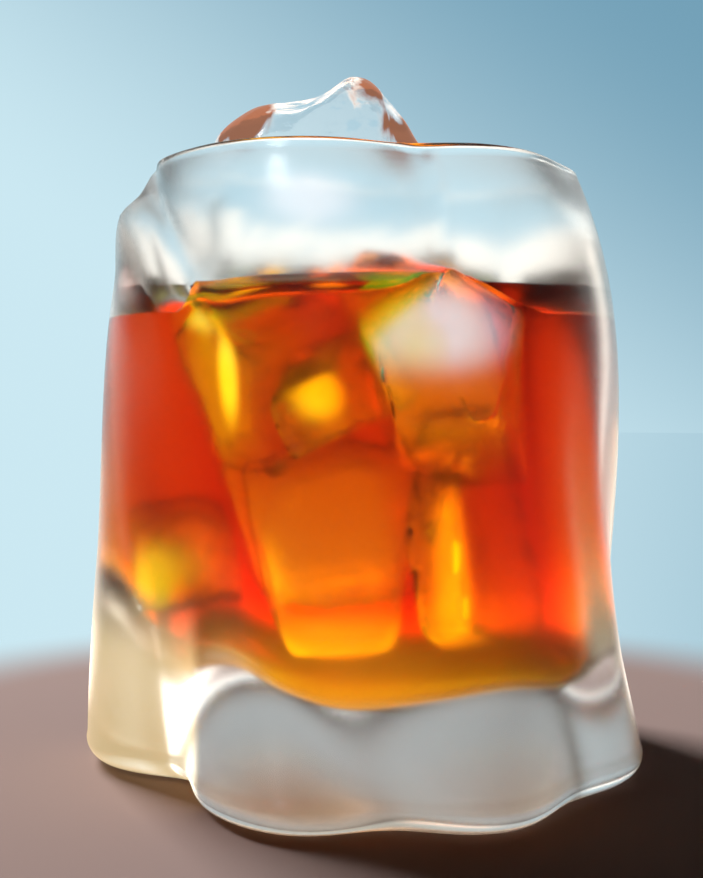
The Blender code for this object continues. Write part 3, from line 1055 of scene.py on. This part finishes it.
class ICEDCOFFEE_OT_drink(bpy.types.Operator):
    """Makes the drink with its climb at the wall and the ice cut out of it"""

    bl_idname = "icedcoffee.drink"
    bl_label = "Drink"

    def execute(self, context):
        settings = context.scene.icedcoffee_drink
        ice = context.scene.icedcoffee_ice
        obj = drink_surface(settings, ice)
        cutters = []
        for seed, (name, piece) in enumerate((ICE_ABOVE | ICE_SUNK).items()):
            rows, turns = CUT_ROWS[name in ICE_SUNK]
            cutters.append(ice_surface(f"{name}_cut", piece, seed, rows, turns, ice, -ice.overlap))
        hollow_out(obj, cutters)
        points = vertices_of(obj)
        low = ease_over(points[:, 2], *LOW_LIGHT_SPAN)
        store(obj, "lit", low * bump(bearing_of(points[:, 0], points[:, 1]), *LOW_LIGHT_BEARING))
        finish_piece(obj, clear_drink(settings), "drink")
        return {"FINISHED"}


class ICEDCOFFEE_OT_ice(bpy.types.Operator):
    """Makes the ice that stands above the drink and the ice that is sunk in it"""

    bl_idname = "icedcoffee.ice"
    bl_label = "Ice"

    def execute(self, context):
        settings = context.scene.icedcoffee_ice
        look = clear_ice(settings)
        for seed, (name, piece) in enumerate((ICE_ABOVE | ICE_SUNK).items()):
            rows, turns = ICE_ROWS.get(name, SUNK_ROWS)
            obj = ice_surface(f"{name}_melted", piece, seed, rows, turns, settings)
            points = vertices_of(obj)
            dry = ease_over(points[:, 2], *BARE_SPAN)
            stain_and_ridge_shade = np.zeros(len(points))
            if name == "ice_tall":
                # Painted shade: a dark line where the dry top turns edge-on to the camera, joined with
                # the stains
                normals = np.empty(len(points) * 3, np.float32)
                obj.data.vertices.foreach_get("normal", normals)
                across = normals.reshape(-1, 3)[:, 1] / RIDGE_WIDTH
                stain_and_ridge_shade = np.maximum(stain_values(points), RIDGE_SHADE * dry * np.exp(-(across**2)))
            store(obj, "stain", stain_and_ridge_shade)
            store(obj, "bare", dry)
            # Painted highlights: the glowing air spots and glints of each piece
            store_colour(obj, "air", air_and_glint_light(points, AIR_AND_GLINTS.get(name, ())))
            finish_piece(obj, look, name if name in ICE_ABOVE else None)
        return {"FINISHED"}


class ICEDCOFFEE_OT_stage(bpy.types.Operator):
    """Makes the pale floor, the soft studio light and the camera"""

    bl_idname = "icedcoffee.stage"
    bl_label = "Stage"

    def execute(self, context):
        settings = context.scene.icedcoffee_stage
        make_floor(settings)
        make_sky(settings)
        for box in SOFTBOXES:
            make_softbox(box)
        make_camera(context)
        shading = context.scene.view_settings
        shading.view_transform = "Standard"
        shading.look = "None"
        light = context.scene.cycles
        light.max_bounces = BOUNCES
        light.transmission_bounces = BOUNCES
        light.transparent_max_bounces = 8
        return {"FINISHED"}


def make_floor(settings):
    """A wide disc just under the foot: rows of rings round the origin."""
    radius = np.array(FLOOR_RINGS)[:, None] * settings.floor_radius
    angle = np.arange(FLOOR_TURNS) * 2 * np.pi / FLOOR_TURNS
    low = np.full((len(radius), FLOOR_TURNS), -FLOOR_DROP)
    rings = np.stack((radius * np.sin(angle), -radius * np.cos(angle), low), axis=-1)
    points = np.vstack(((0.0, 0.0, -FLOOR_DROP), rings.reshape(-1, 3)))
    mesh = bpy.data.meshes.new("floor")
    mesh.from_pydata(points.tolist(), [], fan_and_quads(FLOOR_TURNS, len(radius)))
    mesh.materials.append(pale_floor(settings))
    obj = add_object("floor", mesh)


def make_sky(settings):
    """Soft light all round: a pale backdrop, bright and warm low behind the glass and dim in front."""
    world = bpy.data.worlds.new("soft studio")
    bpy.context.scene.world = world
    world.use_nodes = True
    tree = world.node_tree
    place = tree.nodes.new("ShaderNodeTexCoord").outputs["Generated"]
    way = parts_of(tree, place)
    rays = tree.nodes.new("ShaderNodeLightPath").outputs
    front = spread(tree, rays["Is Transmission Ray"], settings.front_light, settings.through_light)
    behind = mixed(tree, ramp(tree, way["Y"], BRIGHT_SPAN, (0.0, 1.0)), front, settings.back_light)
    above = ramp(tree, way["Z"], DIM_SPAN, (1.0, DIM_SHARE))
    glow, strength = seen_and_lit(tree, settings, product(tree, behind, above), settings.sky_low)
    lean = vector_maths(tree, "DOT_PRODUCT", place, "Value", LEAN)
    seen = ramp(tree, lean, LEAN_SPAN, (0.0, 1.0))
    lit = ramp(tree, way["Z"], HIGH_GLOW_SPAN, (0.0, 1.0))
    share = mixed(tree, rays["Is Camera Ray"], lit, seen)
    upper = blend(tree, rays["Is Camera Ray"], settings.high_glow, settings.sky_high)
    colour = blend(tree, share, glow, upper)
    dress(tree, tree.nodes["Background"], {"Color": colour, "Strength": strength})


def make_softbox(box):
    light = bpy.data.lights.new(box.name, "AREA")
    light.shape = "RECTANGLE"
    light.size, light.size_y = box.size
    light.energy = box.power
    light.color = box.colour
    obj = add_object(box.name, light)
    obj.location = box.place
    obj.rotation_euler = (Vector(box.aim) - Vector(box.place)).to_track_quat("-Z", "Y").to_euler()
    for rays in box.hidden_from:
        setattr(obj, f"visible_{rays}", False)


def make_camera(context):
    """The photograph's view: level with the drink, looking slightly down."""
    lens = bpy.data.cameras.new("camera")
    lens.sensor_fit = "VERTICAL"
    lens.sensor_height = SENSOR_MM
    lens.lens = SENSOR_MM * FOCAL_PIXELS / PHOTO_HEIGHT
    lens.clip_start = 0.01
    obj = add_object("camera", lens)
    obj.location = (EYE_SIDE, -EYE_DISTANCE, EYE_HEIGHT)
    down = degrees(atan2(PHOTO_HEIGHT / 2 - HORIZON_PIXEL, FOCAL_PIXELS))
    obj.rotation_euler = (radians(90 - down), 0.0, 0.0)
    context.scene.camera = obj


class ICEDCOFFEE_PT_sidebar(bpy.types.Panel):
    """The glass, the drink, the ice and the stage, each with its button"""

    bl_idname = "ICEDCOFFEE_PT_sidebar"
    bl_label = "Iced coffee"
    bl_space_type = "VIEW_3D"
    bl_region_type = "UI"
    bl_category = "Iced coffee"

    def draw(self, context):
        for operator in OPERATORS:
            self.layout.operator(operator.bl_idname)
        for group in SETTINGS:
            for key in SETTINGS[group].__annotations__:
                self.layout.prop(getattr(context.scene, group), key)


SETTINGS = {
    "icedcoffee_tumbler": TumblerSettings,
    "icedcoffee_drink": DrinkSettings,
    "icedcoffee_ice": IceSettings,
    "icedcoffee_stage": StageSettings,
}
OPERATORS = (ICEDCOFFEE_OT_tumbler, ICEDCOFFEE_OT_drink, ICEDCOFFEE_OT_ice, ICEDCOFFEE_OT_stage)


def register():
    for name, group in SETTINGS.items():
        bpy.utils.register_class(group)
        setattr(bpy.types.Scene, name, PointerProperty(type=group))
    for operator in OPERATORS:
        bpy.utils.register_class(operator)
    bpy.utils.register_class(ICEDCOFFEE_PT_sidebar)


def unregister():
    bpy.utils.unregister_class(ICEDCOFFEE_PT_sidebar)
    for operator in reversed(OPERATORS):
        bpy.utils.unregister_class(operator)
    for name, group in SETTINGS.items():
        delattr(bpy.types.Scene, name)
        bpy.utils.unregister_class(group)


def main():
    register()
    bpy.ops.icedcoffee.tumbler()
    bpy.ops.icedcoffee.drink()
    bpy.ops.icedcoffee.ice()
    bpy.ops.icedcoffee.stage()


if __name__ == "__main__":
    main()
